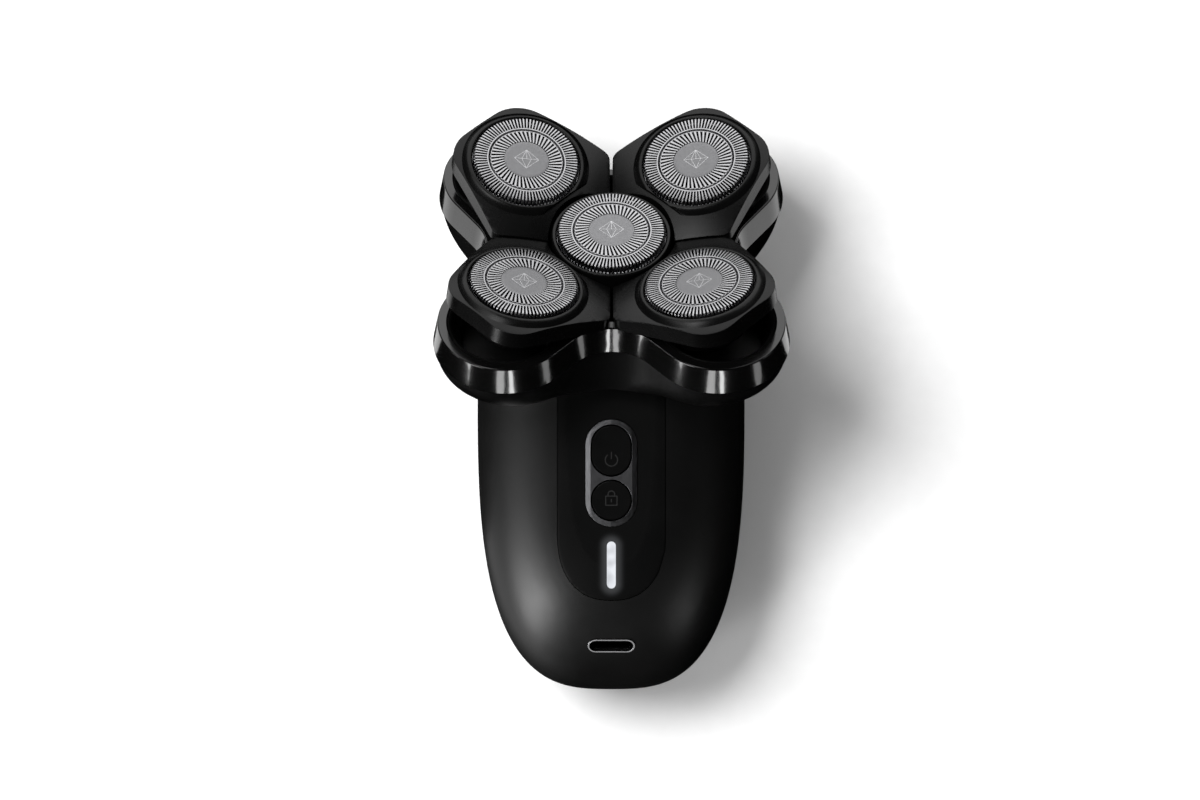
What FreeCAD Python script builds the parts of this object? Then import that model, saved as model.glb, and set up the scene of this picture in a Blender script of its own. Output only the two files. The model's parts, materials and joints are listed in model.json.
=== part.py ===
import FreeCAD, Part
import math
import os
from FreeCAD import Placement, Rotation, Vector

# Electric shaver with five rotary heads, lying on its back.
# +X is across the shaver, +Y runs along the handle towards the head, +Z is the outward direction of the
# front panel. The origin is the middle of the rest pad's flat outer face. Millimetres.

# ---- handle body -------------------------------------------------------------------------------------
handle_half_width = 25.6
handle_widest_level = 15.0
front_level = 36.0
rest_proud = 0.5
plan_centre = 11.0
plan_power = 2.0 / 3.0
handle_end = -46.1
end_round_centre = -17.0
handle_top = 45.0
back_round_centre = 17.0
front_flat_angle = 80.0
back_flat_angle = 68.0
handle_wall = 2.4
split_level = 16.0
split_gap = 0.1
outline_points = 48
upper_angles = (0.0, 12.0, 24.0, 36.0, 48.0, 58.0, 66.0, 73.0, front_flat_angle)
lower_angles = (back_flat_angle, 60.0, 50.0, 40.0, 30.0, 20.0, 10.0)

# ---- front panel, buttons and light ------------------------------------------------------------------
panel_half_width = 10.05
panel_end = -28.0
panel_round_rise = 12.7
panel_top = 24.0
panel_thickness = 1.1
panel_gap = 0.12
bezel_width = 9.7
bezel_length = 20.0
bezel_centre = -4.2
bezel_proud = 0.35
bezel_depth = 2.6
bezel_gap = 0.05
button_gap = 0.2
button_proud = 0.15
button_flange = 0.9
button_flange_thickness = 0.6
power_centre = 0.0
power_width = 7.33
power_length = 9.33
lock_centre = -9.3
lock_diameter = 7.33
button_travel = 0.5
light_width = 1.57
light_length = 8.75
light_centre = -21.4
light_gap = 0.05
light_flange = 0.6

# ---- board, switches, inlet --------------------------------------------------------------------------
board_width = 19.0
board_end = -27.0
board_top = 8.0
board_thickness = 1.2
board_level = 28.4
switch_size = 4.2
switch_body = 1.5
switch_stem_diameter = 2.0
stem_clearance = 0.05
led_width = 2.0
led_length = 6.0
led_height = 0.8
usb_centre = -36.8
usb_width = 8.94
usb_height = 3.2
usb_wall = 0.35
usb_length = 7.3
usb_proud = 0.1
usb_gap = 0.05
usb_lean = 37.0
usb_tongue_width = 6.7
usb_tongue_thickness = 0.7
usb_tongue_length = 5.4

# ---- battery and motor -------------------------------------------------------------------------------
battery_diameter = 14.0
battery_length = 40.5
battery_end = -33.2
battery_level = 12.8
battery_offset = 8.4
battery_nub_diameter = 5.0
battery_nub_height = 1.0
cradle_clearance = 0.15
motor_diameter = 20.0
motor_length = 17.0
motor_boss_diameter = 6.0
motor_boss_height = 1.5
mount_wall = 1.6
mount_clearance = 0.1
shaft_diameter = 2.0
bearing_clearance = 0.05
screw_head_diameter = 3.4
screw_head_height = 1.4
screw_diameter = 1.8
screw_length = 14.0
screw_rows = (-22.0, 16.0)
screw_column = 18.6
boss_diameter = 5.0

screw_seat = 7.0
front_boss_height = 6.0
skin = 0.1
board_post_x = 7.6
board_post_rows = (-24.5, 6.0)
board_post_radius = 1.6
switch_stem = 0.5
light_over_led = 0.2
light_flange_drop = 1.4
pad_margin = 1.5
pad_gap = 0.05
pad_thickness = 1.3
cap_thickness = 1.7
motor_end_wall = 1.0
mount_length = 12.0
neck_top = -16.1
seal_radius = 0.45
seal_level = -18.4
seal_play = 0.03
magnet_ring = 7.6
magnet_radius = 2.0
magnet_thickness = 1.2

# ---- head place --------------------------------------------------------------------------------------
head_lean = 42.4
head_y = 41.0
head_z = 40.0

# ---- chassis of the head -----------------------------------------------------------------------------
lobe_x = 19.45
lobe_y = 18.9
lobe_radius = 13.4
valley_front = 21.9
valley_side = 24.3
valley_radius = 9.0
band_top = -4.5
band_bottom = -10.0
band_flare = 1.0
band_wall = 1.8
skirt_inset = 0.5
skirt_wall = 1.4
skirt_bottom = -20.0
skirt_bottom_lobe_x = 15.2
skirt_bottom_lobe_y = 13.4
skirt_bottom_lobe_radius = 11.0
skirt_bottom_valley_front = 21.8
skirt_bottom_valley_side = 21.8
skirt_tuck = 2.4
skirt_slices = 4
tray_gap = 0.1
tray_wall = 1.0
tray_rim = -9.6
tray_floor_top = -11.6
tray_floor = 1.0
cover_bottom = -17.0
cover_thickness = 2.0
cover_gap = 0.15
cover_recess = 1.2
keeper_thickness = 0.4
neck_radius = 12.0
neck_gap = 0.3

# ---- gear train --------------------------------------------------------------------------------------
gear_module = 0.8
centre_teeth = 38
outer_teeth = 22
pressure_angle = 20.0
tooth_play = 0.16
gear_top = -12.9
gear_thickness = 1.6
gear_web = 0.3
gear_pin_diameter = 1.6
pin_clearance = 0.05
spindle_diameter = 2.6
spindle_ball_radius = 2.0
coupling_diameter = 6.4
coupling_socket_clearance = 0.1
coupling_bottom = -16.0
coupling_top = -13.4
socket_top = -13.2
shaft_top = -14.2

# ---- pods --------------------------------------------------------------------------------------------
pod_reach = 15.9
pod_rise = 2.76
pod_lean = 12.0
pod_gap = 0.35
pod_gap_depth = 3.5
pod_outer_radius = 6.6
pod_outer_x = 5.8
pod_outer_y = 4.2
pod_side_y = 12.7
pod_side_radius = 2.2
pod_inner_y = 7.6
pod_inner_radius = 0.4
dome_radius = 52.0
dome_top = 0.0
pod_skirt_bottom = -4.9
pod_cover_floor = -3.4
pod_cover_wall = 1.4
pod_lip = 0.6
pod_base_gap = 0.2
pod_base_bottom = -10.0
pod_base_floor = 1.2
pod_cup_radius = 8.0
pod_cup_wall = 1.0
pod_cup_hole = 4.6
pivot_pin_radius = 0.8
pivot_pin_inner = 7.1
pivot_pin_outer = 9.4
pivot_running_gap = 0.05
post_inner = 8.4
post_outer = 9.3
post_half_length = 1.7
post_above_pin = 1.3

# ---- foils and cutters -------------------------------------------------------------------------------
foil_radius = 10.0
foil_wall = 0.4
foil_plate = 0.35
foil_depth = 3.4
foil_flange_radius = 10.5
foil_flange = 0.5
foil_hole_gap = 0.2
slot_width = 0.45
slot_depth = 0.7
outer_slots = 45
outer_slot_share = 0.75
slot_overrun = 0.2
inner_slots = 24
inner_slot_shares = (0.45, 0.68)
groove_share = 0.715
groove_width = 0.5
groove_depth = 0.15
cutter_gap = 0.15
cutter_side_gap = 0.4
cutter_plate = 0.6
cutter_depth = 2.4
blade_count = 12
blade_thickness = 0.5
inner_blade_shares = (0.46, 0.66)
outer_blade_share = 0.76
cutter_hub_radius = 3.4
cutter_socket_radius = 2.3
cutter_hub_below_pivot = 1.2
socket_roof = 3.4
collar_radius = 11.1
pod_to_collar = 0.7
collar_top = -1.0
collar_bottom = -9.6
collar_skin = 0.5
collar_ledge_radius = 9.2
collar_ledge = 1.0

# ---- worked-out values -------------------------------------------------------------------------------
gear_distance = gear_module * (centre_teeth + outer_teeth) / 2.0
pod_diagonal = pod_reach * math.sqrt(2.0)
pivot_depth = (gear_distance - pod_diagonal) / math.sin(math.radians(pod_lean))
handle_plane = skirt_bottom - neck_gap
outer_slots_from = foil_radius * outer_slot_share
outer_slots_to = foil_radius + slot_overrun
inner_slots_from = foil_radius * inner_slot_shares[0]
inner_slots_to = foil_radius * inner_slot_shares[1]
groove_radius = foil_radius * groove_share
cutter_radius = foil_radius - foil_wall - cutter_side_gap
inner_blades = (foil_radius * inner_blade_shares[0], foil_radius * inner_blade_shares[1])
outer_blades = (foil_radius * outer_blade_share, cutter_radius)
corner_names = ("rear_right", "rear_left", "front_left", "front_right")
corner_angles = (45.0, 135.0, 225.0, 315.0)


# ---- general helpers ---------------------------------------------------------------------------------
def head_place():
    """Placement of the head's own frame: +X across, +Y to the rear of the head, +Z out of the foils."""
    return Placement(Vector(0, head_y, head_z), Rotation(Vector(1, 0, 0), -head_lean))


def pod_place(angle):
    """Placement, in the head's frame, of a corner pod: +X outward, +Z out of its foil."""
    turn = Rotation(Vector(0, 0, 1), angle)
    lean = Rotation(Vector(0, 1, 0), -pod_lean)
    outward = turn.multVec(Vector(pod_diagonal, 0, pod_rise))
    return Placement(outward, turn.multiply(lean))


def axle_place(angle):
    """Placement, in the head's frame, of an outer gear's upright axis."""
    turn = Rotation(Vector(0, 0, 1), angle)
    return Placement(turn.multVec(Vector(gear_distance, 0, 0)), turn)


def placed(shape, *placements):
    """A copy of the shape moved by the placements, the innermost one last."""
    whole = Placement()
    for placement in placements:
        whole = whole.multiply(placement)
    moved = shape.copy()
    moved.Placement = whole.multiply(moved.Placement)
    return moved


def cylinder(radius, low, high, x=0.0, y=0.0):
    return Part.makeCylinder(radius, high - low, Vector(x, y, low))


def tube(outer, inner, low, high):
    return cylinder(outer, low, high).cut(cylinder(inner, low - 1.0, high + 1.0))


def block(x0, x1, y0, y1, z0, z1):
    return Part.makeBox(x1 - x0, y1 - y0, z1 - z0, Vector(x0, y0, z0))


def prism(wire, low, high):
    """The wire, drawn at level 0, pushed up from low to high."""
    face = Part.Face(wire)
    face.translate(Vector(0, 0, low))
    return face.extrude(Vector(0, 0, high - low))


def inset_wire(wire, inset):
    return Part.Face(wire).makeOffset2D(-inset).OuterWire


def stadium(width, length, centre_y):
    """Slot outline of the given width, long in Y."""
    radius = width / 2.0
    reach = length / 2.0 - radius
    return outline_from_circles([(0.0, centre_y + reach, radius), (0.0, centre_y - reach, radius)])


def outline_from_circles(circles, level=0.0):
    """Closed outline, anticlockwise, of arcs joined by tangent lines.

    A circle is (x, y, signed radius): positive where the outline bulges, negative where it dips.
    """
    count = len(circles)
    leaving = []
    arriving = [None] * count
    for i in range(count):
        x0, y0, r0 = circles[i]
        x1, y1, r1 = circles[(i + 1) % count]
        distance = math.hypot(x1 - x0, y1 - y0)
        heading = math.atan2(y1 - y0, x1 - x0) - math.asin((r1 - r0) / distance)
        normal = (-math.sin(heading), math.cos(heading))
        leaving.append((x0 - r0 * normal[0], y0 - r0 * normal[1]))
        arriving[(i + 1) % count] = (x1 - r1 * normal[0], y1 - r1 * normal[1])
    edges = []
    for i in range(count):
        x, y, r = circles[i]
        start = math.atan2(arriving[i][1] - y, arriving[i][0] - x)
        finish = math.atan2(leaving[i][1] - y, leaving[i][0] - x)
        sweep = (finish - start) % (2.0 * math.pi)
        if r < 0:
            sweep -= 2.0 * math.pi
        middle = start + sweep / 2.0
        through = Vector(x + abs(r) * math.cos(middle), y + abs(r) * math.sin(middle), level)
        first = Vector(arriving[i][0], arriving[i][1], level)
        last = Vector(leaving[i][0], leaving[i][1], level)
        following = arriving[(i + 1) % count]
        edges.append(Part.Arc(first, through, last).toShape())
        edges.append(Part.LineSegment(last, Vector(following[0], following[1], level)).toShape())
    return Part.Wire(edges)


def save(shape, name):
    shape.exportStep("parts/" + name + ".step")
    print(name, round(shape.Volume, 2), len(shape.Solids))


# ---- handle ------------------------------------------------------------------------------------------
def handle_slice(angle, upper, inset):
    """Half width, lower end, upper end and level of one slice; the angle climbs to a flat face."""
    side = math.cos(math.radians(angle)) ** plan_power
    rise = math.sin(math.radians(angle)) ** plan_power
    end = math.sqrt(1.0 - rise * rise)
    flat_angle = front_flat_angle if upper else back_flat_angle
    flat_rise = math.sin(math.radians(flat_angle)) ** plan_power
    if upper:
        height = (front_level - handle_widest_level - inset) / flat_rise
        level = handle_widest_level + height * rise
        top = handle_top - inset
    else:
        height = (handle_widest_level - rest_proud - inset) / flat_rise
        level = handle_widest_level - height * rise
        top = back_round_centre + (handle_top - back_round_centre - inset) * end
    bottom = end_round_centre - (end_round_centre - handle_end - inset) * end
    return (handle_half_width - inset) * side, bottom, top, level


def superellipse(half_width, bottom, top, level):
    """Closed smooth outline about the plan's centre, its two ends of different reach."""
    points = []
    for i in range(outline_points):
        turn = 2.0 * math.pi * i / outline_points
        across = math.copysign(abs(math.cos(turn)) ** plan_power, math.cos(turn))
        along = math.copysign(abs(math.sin(turn)) ** plan_power, math.sin(turn))
        reach = top - plan_centre if along > 0 else plan_centre - bottom
        points.append(Vector(half_width * across, plan_centre + reach * along, level))
    curve = Part.BSplineCurve()
    curve.interpolate(points, PeriodicFlag=True)
    return Part.Wire(curve.toShape())


def handle_form(inset=0.0):
    """Solid of the handle's outer shape, drawn in by the inset all round."""
    wires = []
    for angle in lower_angles:
        wires.append(superellipse(*handle_slice(angle, False, inset)))
    for angle in upper_angles:
        wires.append(superellipse(*handle_slice(angle, True, inset)))
    return Part.makeLoft(wires, True, False)


def below_head(gap=0.0):
    """Half space under the head's mating plane."""
    size = 200.0
    space = block(-size, size, -size, size, handle_plane - gap - size, handle_plane - gap)
    return placed(space, head_place())


def panel_outline(growth=0.0):
    """Tongue of the front panel, round at its lower end, in plan."""
    half = panel_half_width + growth
    low = panel_end - growth
    shoulder = panel_end + panel_round_rise
    top = panel_top + growth
    curve = Part.BSplineCurve()
    points = []
    for i in range(13):
        turn = math.pi * i / 12.0
        across = -math.copysign(abs(math.cos(turn)) ** 0.85, math.cos(turn))
        along = math.sin(turn) ** 0.85
        points.append(Vector(half * across, shoulder - (shoulder - low) * along, 0))
    curve.interpolate(points, InitialTangent=Vector(0, -1, 0), FinalTangent=Vector(0, 1, 0))
    left = Part.LineSegment(Vector(-half, top, 0), points[0]).toShape()
    right = Part.LineSegment(points[-1], Vector(half, top, 0)).toShape()
    across_top = Part.LineSegment(Vector(half, top, 0), Vector(-half, top, 0)).toShape()
    return Part.Wire([left, curve.toShape(), right, across_top])


def shell_half(bosses, keep, openings):
    """Hollow handle form with its bosses, kept inside one block and opened by the cutters."""
    shell = handle_form().common(keep).common(below_head()).cut(handle_form(handle_wall))
    inside = Part.makeCompound(bosses).common(handle_form(skin)).common(keep)
    return shell.fuse(inside.Solids).cut(openings)


def light_opening():
    outline = stadium(light_width + 2 * light_gap, light_length + 2 * light_gap, light_centre)
    return prism(outline, board_level, 100)


def front_shell():
    bosses = []
    for x in (-board_post_x, board_post_x):
        for y in board_post_rows:
            bosses.append(cylinder(board_post_radius, board_level, front_level, x, y))
    openings = [bezel_block(bezel_gap, board_level, 100), light_opening()]
    openings.append(prism(panel_outline(panel_gap), split_level, 100).cut(handle_form(panel_thickness)))
    openings.append(placed(usb_block(usb_gap, -usb_length, 10.0), usb_place()))
    for x, y, side in screw_places():
        bosses.append(screw_boss(x, y, side, split_level, split_level + front_boss_height))
        openings.append(cylinder(screw_diameter / 2.0, split_level - 1, screw_seat + screw_length, x, y))
    return shell_half(bosses, block(-100, 100, -100, 100, split_level + split_gap / 2.0, 100), openings)


def rear_shell():
    bosses = []
    openings = [prism(pad_outline(pad_gap), -1.0, pad_thickness)]
    for x, y, side in screw_places():
        bosses.append(screw_boss(x, y, side, rest_proud, split_level))
        openings.append(cylinder(screw_diameter / 2.0 + pin_clearance, -1, split_level, x, y))
        openings.append(cylinder(screw_head_diameter / 2.0 + pin_clearance, -2, screw_seat, x, y))
    return shell_half(bosses, block(-100, 100, -100, 100, -100, split_level - split_gap / 2.0), openings)


def screw_places():
    return [(side * screw_column, y, side) for y in screw_rows for side in (-1.0, 1.0)]


def screw_boss(x, y, side, low, high):
    """Round boss with a rib that ties it to the shell's side wall."""
    radius = boss_diameter / 2.0
    rib = block(min(x, x + side * 10), max(x, x + side * 10), y - radius, y + radius, low, high)
    return cylinder(radius, low, high, x, y).fuse(rib)


def housing_screws():
    screws = []
    for x, y, side in screw_places():
        head = cylinder(screw_head_diameter / 2.0, screw_seat - screw_head_height, screw_seat, x, y)
        shank = cylinder(screw_diameter / 2.0, screw_seat, screw_seat + screw_length, x, y)
        screws.append(head.fuse(shank))
    return Part.makeCompound(screws)


def pad_outline(growth=0.0):
    """Outline of the rest pad: the handle's flat back face, drawn in by the pad's margin."""
    half_width, bottom, top, level = handle_slice(back_flat_angle, False, 0.0)
    margin = pad_margin - growth
    return superellipse(half_width - margin, bottom + margin, top - margin, 0.0)


def rest_pad():
    return prism(pad_outline(), 0.0, pad_thickness)


def front_panel():
    panel = prism(panel_outline(), split_level, 100).common(handle_form()).cut(handle_form(panel_thickness))
    panel = panel.common(below_head())
    return panel.cut([bezel_block(bezel_gap, board_level, 100), light_opening()])


def bezel_block(growth, low, high):
    return prism(stadium(bezel_width + 2 * growth, bezel_length + 2 * growth, bezel_centre), low, high)


def power_outline(growth=0.0):
    return stadium(power_width + 2 * growth, power_length + 2 * growth, power_centre)


def button_bezel():
    low = front_level - bezel_depth
    body = bezel_block(0.0, low, front_level + bezel_proud)
    body = body.cut(prism(power_outline(button_gap), low - 1, 100))
    return body.cut(cylinder(lock_diameter / 2.0 + button_gap, low - 1, 100, 0, lock_centre))


def buttons_meet():
    """Level in Y midway between the two buttons."""
    return (power_centre - power_length / 2.0 + lock_centre + lock_diameter / 2.0) / 2.0


def with_plunger(cap, flange, y):
    """Button cap with the flange that holds it under the bezel and the plunger over its switch."""
    foot = board_level + switch_body + switch_stem + button_travel + stem_clearance
    return cap.fuse(flange).fuse(cylinder(switch_stem_diameter / 2.0, foot, front_level - 1, 0, y))


def button_levels():
    """Flange bottom, flange top and cap top of a button at rest."""
    flange_top = front_level - bezel_depth - stem_clearance
    return flange_top - button_flange_thickness, flange_top, front_level + button_proud


def power_button():
    low, flange_top, top = button_levels()
    cap = prism(power_outline(), low, top)
    room = block(-100, 100, buttons_meet() + button_gap, 100, 0, 100)
    return with_plunger(cap, prism(power_outline(button_flange), low, flange_top).common(room), power_centre)


def lock_button():
    low, flange_top, top = button_levels()
    cap = cylinder(lock_diameter / 2.0, low, top, 0, lock_centre)
    flange = cylinder(lock_diameter / 2.0 + button_flange, low, flange_top, 0, lock_centre)
    room = block(-100, 100, -100, buttons_meet() - button_gap, 0, 100)
    return with_plunger(cap, flange.common(room), lock_centre)


def light_pipe():
    low = board_level + led_height + light_over_led
    bar = prism(stadium(light_width, light_length, light_centre), low, 100).common(handle_form())
    wide = stadium(light_width + 2 * light_flange, light_length + 2 * light_flange, light_centre)
    flange_top = front_level - handle_wall - light_flange_drop
    return bar.fuse(prism(wide, flange_top - light_flange, flange_top))


def main_board():
    return block(-board_width / 2.0, board_width / 2.0, board_end, board_top,
                 board_level - board_thickness, board_level)


def board_parts():
    """Two push switches and the light, as separate solids on the board."""
    parts = []
    half = switch_size / 2.0
    for y in (power_centre, lock_centre):
        body = block(-half, half, y - half, y + half, board_level, board_level + switch_body)
        stem = cylinder(switch_stem_diameter / 2.0, board_level, board_level + switch_body + switch_stem, 0, y)
        parts.append(body.fuse(stem))
    parts.append(block(-led_width / 2.0, led_width / 2.0, light_centre - led_length / 2.0,
                       light_centre + led_length / 2.0, board_level, board_level + led_height))
    return Part.makeCompound(parts)


def usb_place():
    """Placement of the inlet's mouth: on the front surface, +Z out of the inlet."""
    end = (end_round_centre - usb_centre) / (end_round_centre - handle_end)
    rise = math.sqrt(1.0 - end * end)
    flat_rise = math.sin(math.radians(front_flat_angle)) ** plan_power
    level = handle_widest_level + (front_level - handle_widest_level) / flat_rise * rise
    return Placement(Vector(0, usb_centre, level), Rotation(Vector(1, 0, 0), usb_lean))


def usb_block(growth, low, high):
    wire = stadium(usb_height + 2 * growth, usb_width + 2 * growth, 0.0)
    wire.rotate(Vector(0, 0, 0), Vector(0, 0, 1), 90)
    return prism(wire, low, high)


def usb_shell():
    body = usb_block(0.0, -usb_length, usb_proud).cut(usb_block(-usb_wall, -usb_length - 1, 1.0))
    return placed(body, usb_place())


def usb_tongue():
    base = usb_block(-usb_wall, -usb_length, -usb_length + 1.0)
    half_width = usb_tongue_width / 2.0
    half_thick = usb_tongue_thickness / 2.0
    tongue = block(-half_width, half_width, -half_thick, half_thick, -usb_length, usb_tongue_length - usb_length)
    return placed(base.fuse(tongue), usb_place())


def battery_cylinder(radius, x, extra=0.0):
    start = Vector(x, battery_end - extra, battery_level)
    return Part.makeCylinder(radius, battery_length + 2 * extra, start, Vector(0, 1, 0))


def battery_cells():
    cells = []
    for x in (-battery_offset, battery_offset):
        can = battery_cylinder(battery_diameter / 2.0, x)
        start = Vector(x, battery_end + battery_length, battery_level)
        nub = Part.makeCylinder(battery_nub_diameter / 2.0, battery_nub_height, start, Vector(0, 1, 0))
        cells.append(can.fuse(nub))
    return Part.makeCompound(cells)


def battery_cradle():
    half = battery_offset + battery_diameter / 2.0
    body = block(-half, half, battery_end, battery_end + battery_length, rest_proud, battery_level)
    body = body.common(handle_form(handle_wall + skin))
    for x in (-battery_offset, battery_offset):
        body = body.cut(battery_cylinder(battery_diameter / 2.0 + cradle_clearance, x, 1.0))
    return body


def motor_top():
    return handle_plane - cap_thickness


def motor_can():
    top = motor_top()
    can = cylinder(motor_diameter / 2.0, top - motor_length, top)
    can = can.fuse(cylinder(motor_boss_diameter / 2.0, top, top + motor_boss_height))
    bore = cylinder(shaft_diameter / 2.0 + bearing_clearance, top - motor_length + motor_end_wall, top + 10)
    return placed(can.cut(bore), head_place())


def motor_mount():
    top = motor_top()
    inner = motor_diameter / 2.0 + mount_clearance
    ring = tube(inner + mount_wall, inner, top - mount_length, top)
    return placed(ring, head_place()).common(handle_form(handle_wall + skin))


def motor_shaft():
    low = motor_top() - motor_length + motor_end_wall + bearing_clearance
    return placed(cylinder(shaft_diameter / 2.0, low, shaft_top), head_place())


def hexagon(across_corners):
    wire = Part.makePolygon([Vector(across_corners / 2.0 * math.cos(math.radians(60 * i)),
                                    across_corners / 2.0 * math.sin(math.radians(60 * i)), 0)
                             for i in range(7)])
    return wire


def drive_coupling():
    body = prism(hexagon(coupling_diameter), coupling_bottom, coupling_top)
    return placed(body.cut(cylinder(shaft_diameter / 2.0, coupling_bottom - 1, shaft_top)), head_place())


def neck_cap():
    """Plate that closes the handle under the head, with the round neck that the head sits on."""
    size = 100.0
    slab = placed(block(-size, size, -size, size, motor_top(), handle_plane), head_place())
    plate = slab.common(handle_form(handle_wall + skin))
    boss = cylinder(neck_radius - neck_gap, handle_plane, neck_top)
    groove = Part.makeTorus(neck_radius - neck_gap, seal_radius + seal_play, Vector(0, 0, seal_level))
    cap = plate.fuse(placed(boss.cut(groove), head_place()))
    cap = cap.cut(placed(cylinder(motor_boss_diameter / 2.0 + mount_clearance, motor_top() - 1,
                                  motor_top() + motor_boss_height), head_place()))
    cap = cap.cut(placed(cylinder(shaft_diameter / 2.0 + neck_gap, motor_top(), 0), head_place()))
    return cap.cut(placed(magnets(), head_place()))


def magnets():
    """Four round magnets flush with the neck's top."""
    discs = []
    for i in range(4):
        x = magnet_ring * math.cos(math.pi / 2.0 * i)
        y = magnet_ring * math.sin(math.pi / 2.0 * i)
        discs.append(cylinder(magnet_radius, neck_top - magnet_thickness, neck_top, x, y))
    return Part.makeCompound(discs)


def neck_seal():
    ring = Part.makeTorus(neck_radius - neck_gap, seal_radius, Vector(0, 0, seal_level))
    return placed(ring, head_place())


# ---- chassis of the head -----------------------------------------------------------------------------
def lobed_outline(level, inset, x=lobe_x, y=lobe_y, radius=lobe_radius, front=valley_front, side=valley_side):
    """Four lobes and four valleys, drawn in by the inset all round."""
    lobe = radius - inset
    valley = -(valley_radius + inset)
    front += valley_radius
    side += valley_radius
    circles = [(x, y, lobe), (0.0, front, valley), (-x, y, lobe), (-side, 0.0, valley),
               (-x, -y, lobe), (0.0, -front, valley), (x, -y, lobe), (side, 0.0, valley)]
    return outline_from_circles(circles, level)


def skirt_outline(level, inset):
    """The skirt's outline at one level: full under the band, tucked in towards the neck lower down."""
    share = max(0.0, (band_bottom - level) / (band_bottom - skirt_bottom)) ** skirt_tuck
    return lobed_outline(level, skirt_inset * (1.0 - share) + inset,
                         lobe_x + (skirt_bottom_lobe_x - lobe_x) * share,
                         lobe_y + (skirt_bottom_lobe_y - lobe_y) * share,
                         lobe_radius + (skirt_bottom_lobe_radius - lobe_radius) * share,
                         valley_front + (skirt_bottom_valley_front - valley_front) * share,
                         valley_side + (skirt_bottom_valley_side - valley_side) * share)


def chassis_band():
    outer = Part.makeLoft([lobed_outline(band_bottom, 0.0), lobed_outline(band_top, band_flare)], True, True)
    inner = prism(lobed_outline(0.0, band_flare + band_wall), band_bottom - 1, band_top + 1)
    return outer.cut(inner)


def skirt_levels():
    step = (skirt_bottom - band_bottom) / skirt_slices
    return [band_bottom + step * i for i in range(skirt_slices + 1)]


def chassis_skirt():
    outer = Part.makeLoft([skirt_outline(level, 0.0) for level in skirt_levels()], True, False)
    inner = Part.makeLoft([skirt_outline(level, skirt_wall) for level in skirt_levels()], True, False)
    return outer.cut(inner)


def tray_inset():
    return band_flare + band_wall + tray_gap


def pivot_level():
    """Level of a corner pod's pivot in the head's frame."""
    return pod_rise - pivot_depth * math.cos(math.radians(pod_lean))


def pivot_post(side):
    """Post that carries one pivot pin, upright on the tray's floor, in an axle's frame."""
    y0, y1 = sorted((side * post_inner, side * post_outer))
    return block(-post_half_length, post_half_length, y0, y1, tray_floor_top, pivot_level() + post_above_pin)


def pin_axis(radius, side, inner, outer):
    y = side * (inner if side > 0 else outer)
    return Part.makeCylinder(radius, outer - inner, Vector(0, y, -pivot_depth), Vector(0, 1, 0))


def chassis_tray():
    low = tray_floor_top - tray_floor
    tray = prism(lobed_outline(0.0, tray_inset()), low, tray_rim)
    tray = tray.cut(prism(lobed_outline(0.0, tray_inset() + tray_wall), tray_floor_top, tray_rim + 1))
    posts = []
    openings = [cylinder(spindle_diameter / 2.0 + pin_clearance, low - 1, 0)]
    for angle in corner_angles:
        for side in (-1.0, 1.0):
            posts.append(placed(pivot_post(side), axle_place(angle)))
            pin = pin_axis(pivot_pin_radius, side, pivot_pin_inner, pivot_pin_outer)
            openings.append(placed(pin, pod_place(angle)))
        hole = cylinder(spindle_diameter / 2.0 + pin_clearance, low - 1, 0)
        openings.append(placed(hole, axle_place(angle)))
    return tray.fuse(posts).cut(openings)


def pivot_pins():
    pins = []
    for angle in corner_angles:
        for side in (-1.0, 1.0):
            pin = pin_axis(pivot_pin_radius, side, pivot_pin_inner, pivot_pin_outer)
            pins.append(placed(pin, pod_place(angle)))
    return Part.makeCompound(pins)


def gear_cover():
    wire = skirt_outline(cover_bottom, skirt_wall + cover_gap)
    wire.translate(Vector(0, 0, -cover_bottom))
    top = cover_bottom + cover_thickness
    cover = prism(wire, cover_bottom, top)
    openings = [cylinder(neck_radius + neck_gap, cover_bottom - 1, cover_bottom + cover_recess)]
    openings.append(cylinder(coupling_diameter / 2.0 + neck_gap, cover_bottom, top + 1))
    openings.append(keeper())
    return cover.cut(openings)


def keeper():
    low = cover_bottom + cover_recess
    return tube(magnet_ring + magnet_radius, magnet_ring - magnet_radius, low, low + keeper_thickness)


def gear_pins():
    pins = []
    low = cover_bottom + cover_thickness
    for angle in corner_angles:
        pins.append(placed(cylinder(gear_pin_diameter / 2.0, low, gear_top - gear_web), axle_place(angle)))
    return Part.makeCompound(pins)


# ---- gear train --------------------------------------------------------------------------------------
def gear_wire(teeth, turn):
    """Involute gear outline with its first tooth at the angle turn, in degrees."""
    pitch = gear_module * teeth / 2.0
    base = pitch * math.cos(math.radians(pressure_angle))
    tip = pitch + gear_module
    root = pitch - 1.25 * gear_module
    half_tooth = math.pi / (2.0 * teeth) - tooth_play / (4.0 * pitch)
    roll_at_pitch = math.tan(math.radians(pressure_angle)) - math.radians(pressure_angle)
    points = []
    for i in range(teeth):
        centre = math.radians(turn) + 2.0 * math.pi * i / teeth
        flank = [(root, half_tooth + roll_at_pitch)]
        for step in range(4):
            radius = max(base, root) + (tip - max(base, root)) * step / 3.0
            bend = math.acos(min(1.0, base / radius))
            flank.append((radius, half_tooth + roll_at_pitch - (math.tan(bend) - bend)))
        for radius, angle in flank:
            points.append(polar(radius, centre - angle))
        for radius, angle in reversed(flank):
            points.append(polar(radius, centre + angle))
    points.append(points[0])
    return Part.makePolygon(points)


def polar(radius, angle):
    return Vector(radius * math.cos(angle), radius * math.sin(angle), 0)


def mesh_turn(angle):
    """Angle of an outer gear's first tooth, in the head's frame, that puts its gaps on the centre gear."""
    phase = angle * centre_teeth / 360.0
    return angle + 180.0 - (0.5 - phase) * 360.0 / outer_teeth


def spindle_top(axis_level):
    return cylinder(spindle_diameter / 2.0, gear_top, axis_level).fuse(
        Part.makeSphere(spindle_ball_radius, Vector(0, 0, axis_level)))


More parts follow.
